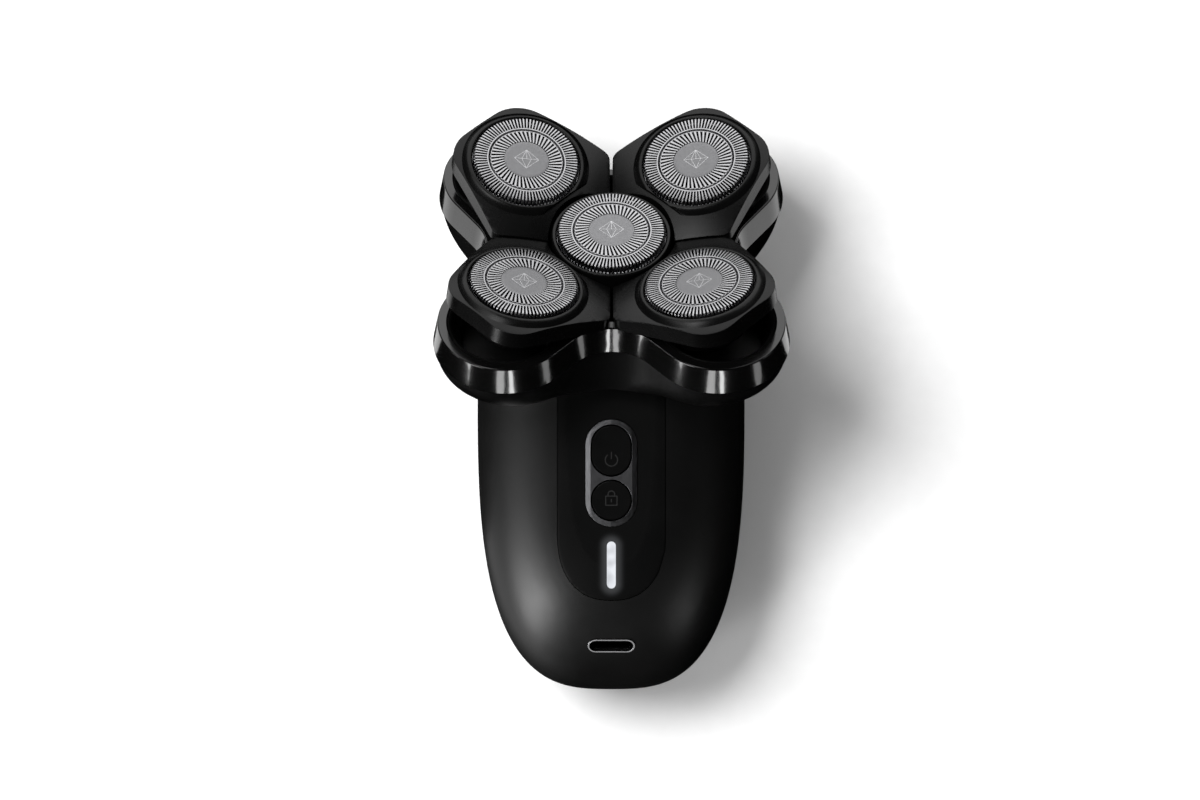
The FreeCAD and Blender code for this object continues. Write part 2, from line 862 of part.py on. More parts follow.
def centre_gear():
    body = prism(gear_wire(centre_teeth, 0.0), gear_top - gear_thickness, gear_top)
    across = coupling_diameter + 2 * coupling_socket_clearance
    return placed(body.cut(prism(hexagon(across), gear_top - gear_thickness - 1, socket_top)), head_place())


def centre_spindle():
    return placed(spindle_top(-pivot_depth), head_place())


def outer_gear(angle):
    """Gear built about the head's axis with its teeth already turned to mesh, then moved to its axle."""
    body = prism(gear_wire(outer_teeth, mesh_turn(angle) - angle), gear_top - gear_thickness, gear_top)
    hole = cylinder(gear_pin_diameter / 2.0 + pin_clearance, gear_top - gear_thickness - 1,
                    gear_top - gear_web + pin_clearance)
    return placed(body.cut(hole), head_place(), axle_place(angle))


def outer_spindle(angle):
    return placed(spindle_top(pivot_level()), head_place(), axle_place(angle))


# ---- pods --------------------------------------------------------------------------------------------
def gap_line_x(y, radius):
    """X in a pod's frame of a corner circle that leaves the pod gap to the neighbour's crease."""
    lean = math.radians(pod_lean)
    at_centre = pod_diagonal + pod_gap_depth * math.sin(lean)
    return (y - at_centre + (radius + pod_gap) * math.sqrt(2.0)) / math.cos(lean)


def pod_outline():
    """Top outline of a corner pod in its own frame: round outer end, two side corners, two inner corners."""
    side_x = gap_line_x(pod_side_y, pod_side_radius)
    inner_x = gap_line_x(pod_inner_y, pod_inner_radius)
    return outline_from_circles([
        (pod_outer_x, pod_outer_y, pod_outer_radius), (side_x, pod_side_y, pod_side_radius),
        (inner_x, pod_inner_y, pod_inner_radius), (inner_x, -pod_inner_y, pod_inner_radius),
        (side_x, -pod_side_y, pod_side_radius), (pod_outer_x, -pod_outer_y, pod_outer_radius)])


def around_collar(angle, extra):
    """Upright cylinder about the head's axis, in the frame of the pod at that angle."""
    reach = cylinder(collar_radius + pod_to_collar + extra, -40, 40)
    return placed(reach, pod_place(angle).inverse())


def pod_cover(angle):
    wire = pod_outline()
    body = prism(wire, pod_skirt_bottom, dome_top + 1)
    body = body.common(Part.makeSphere(dome_radius, Vector(0, 0, dome_top - dome_radius)))
    hollow = prism(inset_wire(wire, pod_cover_wall), pod_skirt_bottom - 1, pod_cover_floor)
    hollow = hollow.cut(around_collar(angle, pod_lip))
    body = body.cut([hollow, around_collar(angle, 0.0), cylinder(foil_radius + foil_hole_gap, -20, 20)])
    return placed(body, head_place(), pod_place(angle))


def pod_base(angle):
    """Plate inside the cover, under the foil's flange, with the cup that hangs on the pivot pins."""
    wire = inset_wire(pod_outline(), pod_cover_wall + pod_base_gap)
    top = -foil_depth - foil_flange
    plate = prism(wire, pod_skirt_bottom, top).cut(around_collar(angle, pod_lip + pod_base_gap))
    cup = cylinder(pod_cup_radius, pod_base_bottom, pod_skirt_bottom)
    well = cylinder(pod_cup_radius - pod_cup_wall, pod_base_bottom + pod_base_floor, 0)
    openings = [well, cylinder(pod_cup_hole, -20, 0)]
    for side in (-1.0, 1.0):
        openings.append(pin_axis(pivot_pin_radius + pivot_running_gap, side, pivot_pin_inner - 1, pivot_pin_outer))
    return placed(plate.fuse(cup).cut(openings), head_place(), pod_place(angle))


def centre_collar():
    """Round housing of the centre foil, with the lip over the foil's flange and the ledge under it."""
    under_flange = -foil_depth - foil_flange
    body = cylinder(collar_radius, collar_bottom, collar_top)
    openings = [cylinder(foil_radius + foil_hole_gap, -foil_depth, 1)]
    openings.append(cylinder(collar_radius - collar_skin, under_flange, -foil_depth))
    openings.append(cylinder(collar_ledge_radius, under_flange - collar_ledge, under_flange))
    openings.append(cylinder(collar_radius - collar_ledge, collar_bottom + pod_base_floor,
                             under_flange - collar_ledge))
    openings.append(cylinder(pod_cup_hole, -20, 0))
    return placed(body.cut(openings), head_place())


# ---- foils and cutters -------------------------------------------------------------------------------
def foil_form():
    """Slotted cap of thin steel with a flange at its foot, its flat top at level 0."""
    body = cylinder(foil_radius, -foil_depth, 0).fuse(
        cylinder(foil_flange_radius, -foil_depth - foil_flange, -foil_depth))
    inside = cylinder(foil_radius - foil_wall, -foil_depth - foil_flange - 1, -foil_plate)
    half = groove_width / 2.0
    groove = tube(groove_radius + half, groove_radius - half, -groove_depth, 1)
    slots = []
    for count, start, finish in ((outer_slots, outer_slots_from, outer_slots_to),
                                 (inner_slots, inner_slots_from, inner_slots_to)):
        for i in range(count):
            slot = block(start, finish, -slot_width / 2.0, slot_width / 2.0, -slot_depth, 1)
            slot.rotate(Vector(0, 0, 0), Vector(0, 0, 1), 360.0 * i / count)
            slots.append(slot)
    return body.cut([inside, groove] + slots)


def cutter_form():
    """Plate with two rings of upright blades and the hub that the spindle's ball drives."""
    top = -foil_plate - cutter_gap
    plate_bottom = -cutter_depth - cutter_plate
    body = cylinder(cutter_radius, plate_bottom, -cutter_depth)
    blades = []
    for start, finish in (inner_blades, outer_blades):
        for i in range(blade_count):
            half = blade_thickness / 2.0
            blade = block(start, finish, -half, half, -cutter_depth, top)
            blade.rotate(Vector(0, 0, 0), Vector(0, 0, 1), 360.0 * i / blade_count)
            blades.append(blade)
    hub = cylinder(cutter_hub_radius, -pivot_depth - cutter_hub_below_pivot, -cutter_depth)
    socket = cylinder(cutter_socket_radius, -20, -socket_roof)
    return body.fuse([hub] + blades).common(cylinder(cutter_radius, -20, 0)).cut(socket)


def main():
    os.makedirs("parts", exist_ok=True)
    for make in (front_shell, rear_shell, rest_pad, front_panel, button_bezel, power_button, lock_button,
                 light_pipe, main_board, board_parts, usb_shell, usb_tongue, battery_cells, battery_cradle,
                 motor_can, motor_mount, motor_shaft, drive_coupling, neck_cap, neck_seal, housing_screws,
                 centre_gear, centre_spindle, centre_collar):
        save(make(), make.__name__)
    save(placed(magnets(), head_place()), "neck_magnets")
    for make in (chassis_band, chassis_skirt, chassis_tray, gear_cover, gear_pins, pivot_pins):
        save(placed(make(), head_place()), make.__name__)
    save(placed(keeper(), head_place()), "magnet_keeper")
    foil = foil_form()
    cutter = cutter_form()
    save(placed(foil, head_place()), "foil_centre")
    save(placed(cutter, head_place()), "cutter_centre")
    for name, angle in zip(corner_names, corner_angles):
        save(placed(foil, head_place(), pod_place(angle)), "foil_" + name)
        save(placed(cutter, head_place(), pod_place(angle)), "cutter_" + name)
        save(pod_cover(angle), "pod_cover_" + name)
        save(pod_base(angle), "pod_base_" + name)
        save(outer_gear(angle), "gear_" + name)
        save(outer_spindle(angle), "spindle_" + name)


main()
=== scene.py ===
import json
import math

import bmesh
import bpy
from mathutils import Matrix, Vector


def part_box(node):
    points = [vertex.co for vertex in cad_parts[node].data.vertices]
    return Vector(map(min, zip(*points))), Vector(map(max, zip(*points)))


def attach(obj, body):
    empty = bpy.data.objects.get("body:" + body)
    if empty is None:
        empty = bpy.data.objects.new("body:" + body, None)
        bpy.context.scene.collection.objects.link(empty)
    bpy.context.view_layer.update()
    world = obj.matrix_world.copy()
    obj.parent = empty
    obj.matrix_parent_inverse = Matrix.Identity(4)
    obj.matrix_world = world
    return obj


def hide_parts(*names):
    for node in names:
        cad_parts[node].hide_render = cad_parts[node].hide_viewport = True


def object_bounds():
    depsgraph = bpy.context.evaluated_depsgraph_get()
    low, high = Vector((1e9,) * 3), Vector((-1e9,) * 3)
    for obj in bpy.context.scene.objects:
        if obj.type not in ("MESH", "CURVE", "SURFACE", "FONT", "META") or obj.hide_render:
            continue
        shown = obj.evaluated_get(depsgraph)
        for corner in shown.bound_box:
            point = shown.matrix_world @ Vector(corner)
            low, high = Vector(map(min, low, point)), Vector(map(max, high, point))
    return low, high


# electric shaver with five rotary heads, lying on its back on a pale table
# metres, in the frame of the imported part

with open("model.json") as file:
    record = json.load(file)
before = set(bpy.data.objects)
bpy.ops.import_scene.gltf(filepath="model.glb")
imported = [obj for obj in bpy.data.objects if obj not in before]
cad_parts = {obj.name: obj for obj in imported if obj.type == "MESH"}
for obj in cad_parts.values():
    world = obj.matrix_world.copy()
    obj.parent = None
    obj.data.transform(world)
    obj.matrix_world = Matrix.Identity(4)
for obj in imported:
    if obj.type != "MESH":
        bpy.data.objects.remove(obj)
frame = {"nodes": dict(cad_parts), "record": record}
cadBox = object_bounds()
nodes = frame["nodes"]
bodyOfNode = {}
for bodyName, nodeNames in frame["record"]["behaviour"]["bodies"].items():
    for nodeName in nodeNames:
        bodyOfNode[nodeName] = bodyName
mm = 0.001
# how near two corners lie, in mm, to be made one: on new pieces, and on copies of the part's pieces
weld = {"new": 0.002, "copy": 0.001}

# where the head and its pods sit, the same values as in the part
places = {"headLean": 42.4, "headY": 41.0, "headZ": 40.0, "podDiagonal": 15.9 * math.sqrt(2),
          "podRise": 2.76, "podLean": 12.0}
corners = {"rear_right": 45, "rear_left": 135, "front_left": 225, "front_right": 315}


def headPlace():
    spot = Matrix.Translation(Vector((0, places["headY"], places["headZ"])) * mm)
    return spot @ Matrix.Rotation(math.radians(-places["headLean"]), 4, "X")


def podPlace(corner):
    turn = Matrix.Rotation(math.radians(corners[corner]), 4, "Z")
    out = Matrix.Translation(Vector((places["podDiagonal"], 0, places["podRise"])) * mm)
    return headPlace() @ turn @ out @ Matrix.Rotation(math.radians(-places["podLean"]), 4, "Y")


# ways of working that every piece shares

def deselectAll():
    if bpy.context.mode != "OBJECT":
        bpy.ops.object.mode_set(mode="OBJECT")
    bpy.ops.object.select_all(action="DESELECT")


def pick(obj):
    deselectAll()
    obj.select_set(True)
    bpy.context.view_layer.objects.active = obj


def editWith(obj, what="VERT"):
    pick(obj)
    bpy.ops.object.mode_set(mode="EDIT")
    bpy.ops.mesh.select_mode(type=what)
    bpy.ops.mesh.select_all(action="DESELECT")


def leaveEdit():
    bpy.ops.object.mode_set(mode="OBJECT")


def applyModifiers(obj):
    pick(obj)
    for modifier in list(obj.modifiers):
        bpy.ops.object.modifier_apply(modifier=modifier.name)


def smooth(obj, angle=35):
    pick(obj)
    bpy.ops.object.shade_smooth_by_angle(angle=math.radians(angle))


def putAt(obj, place):
    # moves the mesh itself, so the object stays at the origin
    obj.data.transform(place)
    obj.data.update()
    return obj


def finishPiece(obj, name, body, material, stands=()):
    obj.name = name
    obj.data.name = name
    obj.data.materials.clear()
    obj.data.materials.append(material)
    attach(obj, body)
    if stands:
        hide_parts(*stands)
    return obj


def joined(parts):
    # the others become part of the first
    pick(parts[0])
    for part in parts[1:]:
        part.select_set(True)
    if len(parts) > 1:
        bpy.ops.object.join()
    return parts[0]


def copyOf(obj, name):
    twin = obj.copy()
    twin.data = obj.data.copy()
    twin.name = name
    twin.hide_render = twin.hide_viewport = False
    bpy.context.collection.objects.link(twin)
    return twin


def turned(profile, sides):
    # a body of revolution: one circle, drawn out ring by ring and closed on the first
    deselectAll()
    radius, level = profile[0]
    bpy.ops.mesh.primitive_circle_add(vertices=sides, radius=radius * mm,
                                      location=(0, 0, level * mm))
    obj = bpy.context.object
    bpy.ops.object.transform_apply(location=True, rotation=True, scale=True)
    bpy.ops.object.mode_set(mode="EDIT")
    bpy.ops.mesh.select_mode(type="EDGE")
    bpy.ops.mesh.select_all(action="SELECT")
    for nextRadius, nextLevel in profile[1:] + profile[:1]:
        bpy.ops.mesh.extrude_edges_move()
        grow = nextRadius / radius
        bpy.ops.transform.resize(value=(grow, grow, 1), center_override=(0, 0, 0))
        bpy.ops.transform.translate(value=(0, 0, (nextLevel - level) * mm))
        radius, level = nextRadius, nextLevel
    bpy.ops.mesh.select_all(action="SELECT")
    bpy.ops.mesh.remove_doubles(threshold=weld["new"] * mm)
    bpy.ops.mesh.normals_make_consistent(inside=False)
    leaveEdit()
    return obj


# materials: real material and how its surface was made

def linearColour(hexText):
    out = []
    for start in (0, 2, 4):
        channel = int(hexText[start:start + 2], 16) / 255
        out.append(channel / 12.92 if channel <= 0.04045 else ((channel + 0.055) / 1.055) ** 2.4)
    return (*out, 1.0)


def addNode(tree, kind, settings=None, **sockets):
    # a socket's value is either a plain value or (node, output) to link from
    node = tree.nodes.new(kind)
    for key, value in (settings or {}).items():
        setattr(node, key, value)
    for key, value in sockets.items():
        numbered = key[0] == "i" and key[1:].isdigit()
        target = node.inputs[int(key[1:]) if numbered else key]
        if isinstance(value, tuple) and len(value) == 2 and hasattr(value[0], "outputs"):
            tree.links.new(value[0].outputs[value[1]], target)
        else:
            target.default_value = value
    return node


def startMaterial(name, **shaderValues):
    material = bpy.data.materials.new(name)
    material.use_nodes = True
    tree = material.node_tree
    shader = tree.nodes["Principled BSDF"]
    for key, value in shaderValues.items():
        shader.inputs[key.replace("_", " ")].default_value = value
    where = addNode(tree, "ShaderNodeTexCoord")
    return material, tree, shader, where


# the stretch of noise that is used, how far roughness wanders to each side, the polish of a clear
# coat, and the depth of marks in metal in mm
wander = {"from": 0.3, "to": 0.7, "plasticLow": 0.93, "plasticHigh": 1.07, "metalLow": 0.8,
          "metalHigh": 1.2, "coatRoughness": 0.05, "markDepth": 0.01}


def mouldedPlastic(name, look):
    # spark-eroded mould texture: a fine grain in the bump, and gloss that wanders a little
    material, tree, shader, where = startMaterial(
        name, Metallic=0.0, IOR=look["ior"], Coat_Weight=look.get("coat", 0.0),
        Coat_Roughness=wander["coatRoughness"],
        Specular_IOR_Level=look.get("specular", 0.5))
    grain = addNode(tree, "ShaderNodeTexNoise", Scale=1 / (look["grainMm"] * mm), Detail=2.0,
                    Roughness=0.5, Vector=(where, "Object"))
    drift = addNode(tree, "ShaderNodeTexNoise", Scale=1 / (look["driftMm"] * mm), Detail=3.0,
                    Roughness=0.55, Vector=(where, "Object"))
    gloss = addNode(tree, "ShaderNodeMapRange", i0=(drift, 0), i1=wander["from"], i2=wander["to"],
                    i3=look["roughness"] * wander["plasticLow"],
                    i4=look["roughness"] * wander["plasticHigh"])
    tint = addNode(tree, "ShaderNodeMix", {"data_type": "RGBA"}, i0=(drift, 0),
                   i6=linearColour(look["dark"]), i7=linearColour(look["light"]))
    bump = addNode(tree, "ShaderNodeBump", Strength=look["bump"], Distance=look["bumpMm"] * mm,
                   Height=(grain, 0))
    tree.links.new(tint.outputs[2], shader.inputs["Base Color"])
    tree.links.new(gloss.outputs[0], shader.inputs["Roughness"])
    tree.links.new(bump.outputs[0], shader.inputs["Normal"])
    return material


def plainMetal(name, look):
    # metal with drawing or grinding marks along one axis
    material, tree, shader, where = startMaterial(name, Metallic=1.0)
    stretch = addNode(tree, "ShaderNodeMapping", Vector=(where, "Object"), Scale=look["stretch"])
    marks = addNode(tree, "ShaderNodeTexNoise", Scale=1 / (look["markMm"] * mm), Detail=3.0,
                    Roughness=0.6, Vector=(stretch, 0))
    gloss = addNode(tree, "ShaderNodeMapRange", i0=(marks, 0), i1=wander["from"], i2=wander["to"],
                    i3=look["roughness"] * wander["metalLow"],
                    i4=look["roughness"] * wander["metalHigh"])
    tint = addNode(tree, "ShaderNodeMix", {"data_type": "RGBA"}, i0=(marks, 0),
                   i6=linearColour(look["dark"]), i7=linearColour(look["light"]))
    bump = addNode(tree, "ShaderNodeBump", Strength=look["bump"],
                   Distance=wander["markDepth"] * mm, Height=(marks, 0))
    tree.links.new(tint.outputs[2], shader.inputs["Base Color"])
    tree.links.new(gloss.outputs[0], shader.inputs["Roughness"])
    tree.links.new(bump.outputs[0], shader.inputs["Normal"])
    return material


# grain sizes are as coarse as they need to be to show in a render of the whole shaver
finishes = {
    # ABS shell, fine matt mould texture: dark with a wide soft highlight
    "handleAbs": mouldedPlastic("matt_moulded_abs_black", {
        "dark": "060606", "light": "090909", "roughness": 0.42, "ior": 1.5, "specular": 0.42,
        "grainMm": 0.25, "driftMm": 9, "bump": 0.10, "bumpMm": 0.02}),
    # same resin, smoother tool: the tongue panel
    "panelAbs": mouldedPlastic("satin_moulded_abs_black", {
        "dark": "070707", "light": "0a0a0a", "roughness": 0.50, "ior": 1.5, "specular": 0.28,
        "grainMm": 0.25, "driftMm": 9, "bump": 0.08, "bumpMm": 0.02}),
    # pod covers: satin ABS, brighter broad reflections
    "podAbs": mouldedPlastic("satin_moulded_abs_pod", {
        "dark": "050505", "light": "070707", "roughness": 0.27, "ior": 1.52, "specular": 0.26,
        "grainMm": 0.2, "driftMm": 6, "bump": 0.08, "bumpMm": 0.015}),
    # polished ABS, piano black: mirror-like strips
    "glossAbs": mouldedPlastic("polished_abs_piano_black", {
        "dark": "050505", "light": "080808", "roughness": 0.15, "ior": 1.53,
        "grainMm": 1.5, "driftMm": 8, "bump": 0.02, "bumpMm": 0.01, "coat": 0.5}),
    # chassis skirt: fine matt texture, a soft broad sheen
    "skirtAbs": mouldedPlastic("fine_texture_abs_skirt", {
        "dark": "0a0a0a", "light": "0d0d0d", "roughness": 0.36, "ior": 1.5, "specular": 0.4,
        "grainMm": 0.25, "driftMm": 7, "bump": 0.10, "bumpMm": 0.02}),
    # inner parts: unfilled ABS straight from the tool
    "innerAbs": mouldedPlastic("inner_moulded_abs_dark", {
        "dark": "060606", "light": "0a0a0a", "roughness": 0.5, "ior": 1.5,
        "grainMm": 0.4, "driftMm": 5, "bump": 0.1, "bumpMm": 0.02}),
    # button caps: satin ABS, a soft dark sheen
    "buttonAbs": mouldedPlastic("satin_button_cap_abs", {
        "dark": "080808", "light": "0b0b0b", "roughness": 0.36, "ior": 1.5, "specular": 0.35,
        "grainMm": 0.2, "driftMm": 4, "bump": 0.06, "bumpMm": 0.015}),
    # acetal gears: milky, slightly waxy
    "acetal": mouldedPlastic("moulded_acetal_natural", {
        "dark": "d9d6cc", "light": "e6e3da", "roughness": 0.35, "ior": 1.48,
        "grainMm": 0.4, "driftMm": 4, "bump": 0.05, "bumpMm": 0.01}),
    # battery sleeve: shrunk PVC film
    "pvcSleeve": mouldedPlastic("shrunk_pvc_sleeve_green", {
        "dark": "2f6b4a", "light": "3a7d58", "roughness": 0.28, "ior": 1.53,
        "grainMm": 1.2, "driftMm": 6, "bump": 0.2, "bumpMm": 0.03}),
    # glass-epoxy board under solder mask
    "solderMask": mouldedPlastic("glass_epoxy_solder_mask", {
        "dark": "0f3d24", "light": "15502f", "roughness": 0.25, "ior": 1.55,
        "grainMm": 0.5, "driftMm": 3, "bump": 0.15, "bumpMm": 0.02}),
    # neck seal: moulded silicone, dull and a little uneven
    "silicone": mouldedPlastic("moulded_silicone_black", {
        "dark": "101010", "light": "151515", "roughness": 0.6, "ior": 1.41,
        "grainMm": 0.3, "driftMm": 3, "bump": 0.15, "bumpMm": 0.02}),
    # rest pad: soft thermoplastic rubber
    "tpePad": mouldedPlastic("moulded_tpe_pad", {
        "dark": "121212", "light": "181818", "roughness": 0.65, "ior": 1.5,
        "grainMm": 0.5, "driftMm": 6, "bump": 0.25, "bumpMm": 0.03}),
    # bezel: zinc die casting, blasted then plated dark
    "gunmetal": plainMetal("plated_zinc_gunmetal", {
        "dark": "78787a", "light": "848487", "roughness": 0.45, "markMm": 0.4,
        "stretch": (1.0, 0.25, 1.0), "bump": 0.1}),
    # stainless strip, drawn and polished
    "steel": plainMetal("drawn_stainless_steel", {
        "dark": "b9b9bb", "light": "cfcfd1", "roughness": 0.2, "markMm": 0.3,
        "stretch": (1.0, 0.3, 1.0), "bump": 0.1}),
    # foils: rolled stainless, ground bright
    "foilSteel": plainMetal("ground_stainless_foil", {
        "dark": "b4b4b6", "light": "d6d6d8", "roughness": 0.33, "markMm": 0.25,
        "stretch": (1.0, 1.0, 1.0), "bump": 0.1}),
    # middle of each foil: etched matt, so it stays an even grey
    "etchedSteel": plainMetal("etched_stainless_disc", {
        "dark": "979799", "light": "a3a3a5", "roughness": 0.5, "markMm": 0.2,
        "stretch": (1.0, 1.0, 1.0), "bump": 0.25}),
    # blades: hardened steel, as stamped, its colour darkened as painted shade so the foil's slots
    # above read black
    "bladeSteelPaintedShade": plainMetal("blade_steel_painted_shade", {
        "dark": "242426", "light": "38383a", "roughness": 0.4, "markMm": 0.3,
        "stretch": (1.0, 1.0, 1.0), "bump": 0.2}),
    # lines cut through the etched face show the bright metal
    "cutSteel": plainMetal("cut_stainless_line", {
        "dark": "dcdcde", "light": "e6e6e8", "roughness": 0.42, "markMm": 0.3,
        "stretch": (1.0, 1.0, 1.0), "bump": 0.1}),
    # motor can, magnet keeper and screws: steel under bright zinc, slightly cloudy
    "zincPlate": plainMetal("zinc_plated_steel", {
        "dark": "8f9094", "light": "a9aaae", "roughness": 0.32, "markMm": 0.6,
        "stretch": (1.0, 1.0, 1.0), "bump": 0.1}),
    # magnets: smooth nickel plate, a warm grey mirror
    "nickel": plainMetal("nickel_plated_magnet", {
        "dark": "a8a59c", "light": "bdbab1", "roughness": 0.15, "markMm": 0.8,
        "stretch": (1.0, 1.0, 1.0), "bump": 0.05}),
}


def litPlastic(name, look):
    # opal polycarbonate over a lamp: an almost even glow, dimmer in soft patches
    material, tree, shader, where = startMaterial(name, IOR=look["ior"],
                                                  Roughness=look["roughness"])
    shader.inputs["Base Color"].default_value = linearColour(look["body"])
    shader.inputs["Emission Color"].default_value = linearColour(look["colour"])
    cloud = addNode(tree, "ShaderNodeTexNoise", Scale=1 / (look["patchMm"] * mm), Detail=1.0,
                    Vector=(where, "Object"))
    glow = addNode(tree, "ShaderNodeMapRange", i0=(cloud, 0), i1=look["patchFrom"],
                   i2=look["patchTo"], i3=look["dim"], i4=look["bright"])
    tree.links.new(glow.outputs[0], shader.inputs["Emission Strength"])
    return material


finishes["litDiffuser"] = litPlastic("opal_polycarbonate_lit", {
    "ior": 1.58, "roughness": 0.35, "colour": "f6f9ff", "body": "3c3d40", "patchMm": 2.4,
    "patchFrom": 0.35, "patchTo": 0.65, "dim": 0.62, "bright": 0.86})
# painted glow: the black panel is given a faint emission round the lit bar, less and less with the
# way from it
paintedGlowLook = {"colour": "f6f9ff", "from": 0.7, "reach": 3.4, "falloff": 2.0, "strength": 0.05}


def addPaintedGlow(material, barBox):
    # paints a faint glow into the panel's own emission, fading with the distance from the lit bar
    look = paintedGlowLook
    low, high = barBox
    halfWidth = (high.x - low.x) / 2
    half = (high.y - low.y) / 2 - halfWidth
    middle = (low.y + high.y) / 2
    tree = material.node_tree
    where = addNode(tree, "ShaderNodeTexCoord")
    parts = addNode(tree, "ShaderNodeSeparateXYZ", Vector=(where, "Object"))
    along = addNode(tree, "ShaderNodeMath", {"operation": "SUBTRACT"}, i0=(parts, 1), i1=middle)
    far = addNode(tree, "ShaderNodeMath", {"operation": "ABSOLUTE"}, i0=(along, 0))
    past = addNode(tree, "ShaderNodeMath", {"operation": "SUBTRACT"}, i0=(far, 0), i1=half)
    over = addNode(tree, "ShaderNodeMath", {"operation": "MAXIMUM"}, i0=(past, 0), i1=0.0)
    flat = addNode(tree, "ShaderNodeCombineXYZ", X=(parts, 0), Y=(over, 0))
    away = addNode(tree, "ShaderNodeVectorMath", {"operation": "LENGTH"}, i0=(flat, 0))
    fade = addNode(tree, "ShaderNodeMapRange", {"interpolation_type": "SMOOTHERSTEP"}, i0=(away, 1),
                   i1=look["from"] * mm, i2=look["reach"] * mm, i3=1.0, i4=0.0)
    paintedFade = addNode(tree, "ShaderNodeMath", {"operation": "POWER"}, i0=(fade, 0), i1=look["falloff"])
    glow = addNode(tree, "ShaderNodeMath", {"operation": "MULTIPLY"}, i0=(paintedFade, 0),
                   i1=look["strength"])
    shader = tree.nodes["Principled BSDF"]
    shader.inputs["Emission Color"].default_value = linearColour(look["colour"])
    tree.links.new(glow.outputs[0], shader.inputs["Emission Strength"])


# the tongue panel gets the painted glow round the lit bar
addPaintedGlow(finishes["panelAbs"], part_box("light_pipe"))
# icons: grey pad-printed ink, barely lighter than the cap
finishes["padPrint"] = mouldedPlastic("pad_printed_ink_grey", {
    "dark": "232323", "light": "2b2b2b", "roughness": 0.5, "ior": 1.5, "specular": 0.4,
    "grainMm": 0.1, "driftMm": 1, "bump": 0.05, "bumpMm": 0.005})
print("materials ready:", len(finishes))

# every CAD node's finish, by the start of its name
nodeFinish = {
    "front_shell": "handleAbs", "rear_shell": "handleAbs", "rest_pad": "tpePad",
    "front_panel": "panelAbs", "button_bezel": "gunmetal", "power_button": "buttonAbs",
    "lock_button": "buttonAbs", "light_pipe": "acetal", "main_board": "solderMask",
    "board_parts": "innerAbs", "usb_shell": "steel", "usb_tongue": "innerAbs",
    "battery_cells": "pvcSleeve", "battery_cradle": "innerAbs", "motor_can": "zincPlate",
    "motor_mount": "innerAbs", "motor_shaft": "steel", "drive_coupling": "acetal",
    "neck_cap": "innerAbs", "neck_seal": "silicone", "neck_magnets": "nickel",
    "housing_screws": "zincPlate", "centre_gear": "acetal", "centre_spindle": "acetal",
    "centre_collar": "podAbs", "chassis_band": "glossAbs", "chassis_skirt": "skirtAbs",
    "chassis_tray": "innerAbs", "gear_cover": "innerAbs", "gear_pins": "steel",
    "pivot_pins": "steel", "magnet_keeper": "zincPlate", "foil": "foilSteel",
    "cutter": "bladeSteelPaintedShade", "pod_cover": "podAbs", "pod_base": "innerAbs", "gear": "acetal",
    "spindle": "acetal"}


def finishOf(nodeName):
    best = max((key for key in nodeFinish if nodeName.startswith(key)), key=len)
    return finishes[nodeFinish[best]]


for nodeName, node in nodes.items():
    for slot in node.material_slots:
        slot.material = finishOf(nodeName)

# foils: thin steel caps with two rings of slots, a plain disc in the middle, a flange at the foot

foilLook = {
    "radius": 10.0, "edgeRadius": 0.5, "edgeSteps": 3, "plate": 0.28, "wallFoot": -3.4,
    "flangeRadius": 10.5, "flange": 0.5, "wall": 0.4, "slotFoot": -1.5, "sides": 180,
    # bars between the outer slots, and their width at either end
    "outerBars": 90, "outerInner": 7.46, "outerBarInner": 0.26, "outerBarOuter": 0.37,
    # land between the slots, with a deep groove on its inner side: radius and level
    "ring": [(6.70, -0.85), (6.70, -0.10), (6.84, -0.10), (7.02, -0.80), (7.20, -0.05),
             (7.25, -0.01), (7.46, -0.01), (7.54, -0.08), (7.54, -0.85)],
    # bars between the inner slots: they start a little way under the disc and lean one way
    "innerBars": 50, "innerInner": 4.3, "underDisc": 0.1, "innerOuter": 6.84,
    "innerBarInner": 0.30, "innerBarOuter": 0.50, "slant": 13.0, "barBevel": 0.05,
    "bevelFrom": 60, "discRadius": 4.3, "discLevel": -0.06, "discDepth": 0.5, "discSides": 96,
    "discRim": 0.12, "discRimSteps": 3, "discInset": 0.5, "crease": 30}


